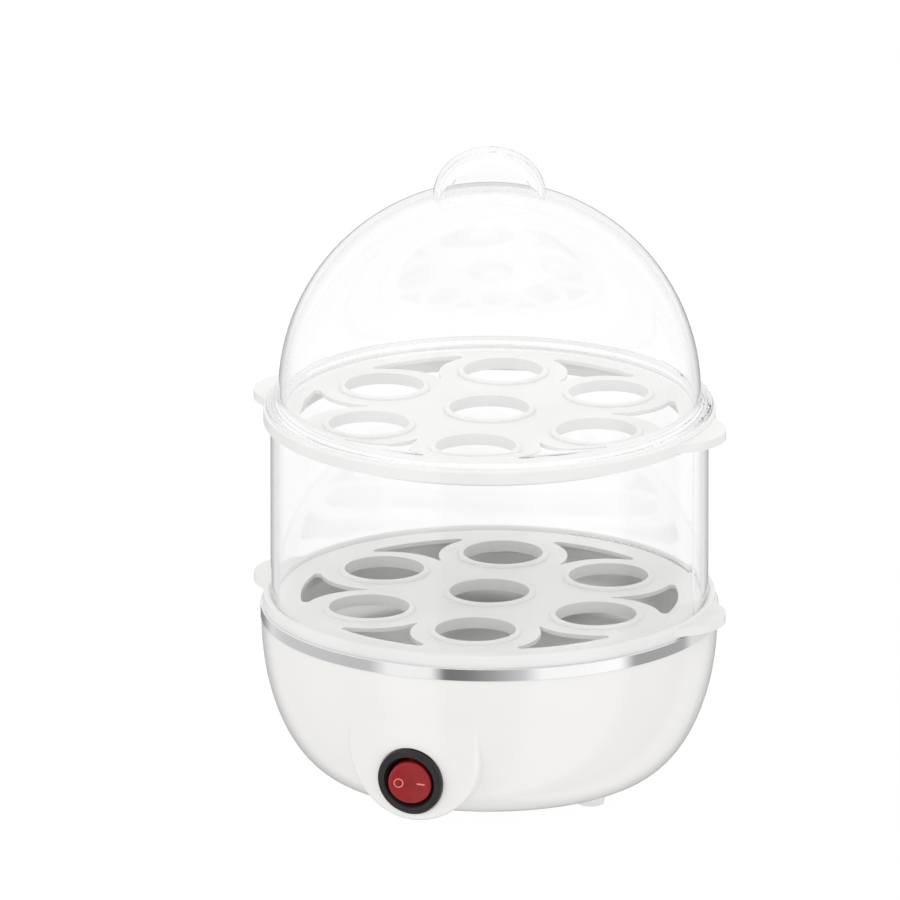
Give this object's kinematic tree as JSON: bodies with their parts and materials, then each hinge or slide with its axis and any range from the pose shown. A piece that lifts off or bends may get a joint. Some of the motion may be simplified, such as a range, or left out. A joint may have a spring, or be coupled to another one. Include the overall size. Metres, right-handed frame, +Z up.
{
  "type": "electric egg cooker",
  "caption": "Electric egg cooker with a rounded base and rocker switch, stacked egg trays, a clear steaming cylinder and a clear domed lid with a moulded handle",
  "frame": {"origin": "on the table under the vertical axis of the bowl, at the bottom centre of the part's box", "axes": "+Z up, -Y towards the switch at the front, X along the line through the ears of the trays"},
  "size_m": [0.1674, 0.1544, 0.2225],
  "materials": {
    "clear_plastic": "clear, polished",
    "tray_white": "satin, slightly translucent",
    "shell_white": "gloss",
    "polished_steel": "polished",
    "dish_steel": "fine brushed",
    "seal_silicone": "matte",
    "screw_steel": "zinc plated",
    "heater_aluminium": "as cast",
    "heater_sheath": "dull",
    "black_moulding": "matte",
    "brass_parts": "plain",
    "block_nylon": "satin",
    "switch_black": "satin",
    "rocker_red": "gloss",
    "foot_rubber": "matte",
    "lead_brown": "sleeved",
    "lead_blue": "sleeved",
    "lead_green": "sleeved"
  },
  "bodies": {
    "base": {"base_shell": "shell_white", "bottom_cover": "shell_white", "trim_band": "polished_steel", "heating_dish": "dish_steel", "dish_seal": "seal_silicone", "cover_screws": "screw_steel", "plate_screws": "screw_steel", "heater_plate": "heater_aluminium", "thermostat_cap": "heater_aluminium", "heater_tube": "heater_sheath", "heater_pins": "screw_steel", "thermostat_body": "black_moulding", "thermostat_blades": "brass_parts", "thermostat_bracket": "screw_steel", "thermal_fuse": "heater_sheath", "fuse_clip": "screw_steel", "earth_tag": "brass_parts", "terminal_block": "block_nylon", "terminal_sleeves": "brass_parts", "terminal_screws": "screw_steel", "cord_gland": "black_moulding", "gland_nut": "black_moulding", "switch_housing": "switch_black", "switch_blades": "brass_parts", "lead_connectors": "brass_parts", "crimp_sleeves": "brass_parts", "live_lead": "lead_brown", "switched_lead": "lead_brown", "fuse_lead": "lead_brown", "heater_lead": "lead_brown", "neutral_lead": "lead_blue", "earth_lead": "lead_green", "foot_1": "foot_rubber", "foot_2": "foot_rubber", "foot_3": "foot_rubber", "foot_4": "foot_rubber"},
    "lower_tray": {"lower_egg_tray": "tray_white"},
    "cylinder": {"steam_cylinder": "clear_plastic"},
    "upper_tray": {"upper_egg_tray": "tray_white"},
    "lid": {"lid": "clear_plastic"},
    "rocker": {"switch_rocker": "rocker_red", "switch_plunger": "block_nylon", "plunger_spring": "screw_steel"},
    "lever": {"contact_lever": "brass_parts"}
  },
  "joints": [
    {"name": "lower_tray_lift", "type": "slide", "parent": "base", "child": "lower_tray", "axis": [0, 0, 1], "range_m": [0, 0.05]},
    {"name": "cylinder_lift", "type": "slide", "parent": "lower_tray", "child": "cylinder", "axis": [0, 0, 1], "range_m": [0, 0.08]},
    {"name": "upper_tray_lift", "type": "slide", "parent": "cylinder", "child": "upper_tray", "axis": [0, 0, 1], "range_m": [0, 0.05]},
    {"name": "lid_lift", "type": "slide", "parent": "upper_tray", "child": "lid", "axis": [0, 0, 1], "range_m": [0, 0.12]},
    {"name": "rocker_tilt", "type": "hinge", "parent": "base", "child": "rocker", "pos_m": [0, -0.07138, 0.02182], "axis": [0, -0.0785, 0.9969], "range_deg": [-15, 0]},
    {"name": "lever_tilt", "type": "hinge", "parent": "base", "child": "lever", "pos_m": [0, -0.0625, 0.02252], "axis": [0, -0.0785, 0.9969], "range_deg": [0, 12]}
  ],
  "couplings": [
    {"joint": "lever_tilt", "follows": "rocker_tilt", "ratio": -0.8}
  ]
}
